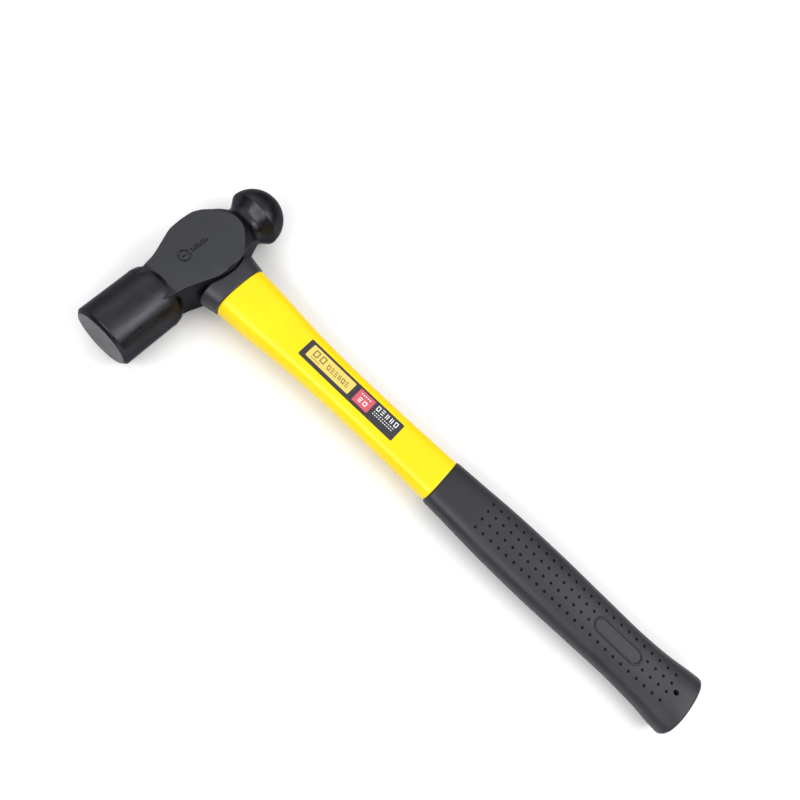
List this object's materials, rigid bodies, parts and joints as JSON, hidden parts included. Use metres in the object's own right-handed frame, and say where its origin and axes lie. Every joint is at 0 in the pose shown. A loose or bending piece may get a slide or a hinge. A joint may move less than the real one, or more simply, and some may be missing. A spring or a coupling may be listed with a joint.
{
  "type": "ball peen hammer",
  "caption": "Ball peen hammer with a forged head, a collared moulded fibreglass handle, a dimpled rubber grip and a flared butt.",
  "frame": {"origin": "middle of the underside of the bounding box, with the hammer lying on its side so that its plane of symmetry is level, one poll radius above the surface", "axes": "+X down the handle from the head to the butt, +Y along the head from the striking face to the ball, +Z square to the flat cheeks"},
  "size_m": [0.3912, 0.1324, 0.038],
  "materials": {
    "forged_steel": "satin",
    "epoxy": "gloss",
    "fiberglass": "matte",
    "collar_rubber": "satin",
    "yellow_plastic": "satin",
    "label_film": "satin",
    "grip_rubber": "matte"
  },
  "bodies": {
    "root": {"head": "forged_steel", "eye_resin": "epoxy", "fiberglass_core": "fiberglass", "neck_collar": "collar_rubber", "handle_jacket": "yellow_plastic", "size_label": "label_film", "grip_sleeve": "grip_rubber"}
  },
  "joints": []
}
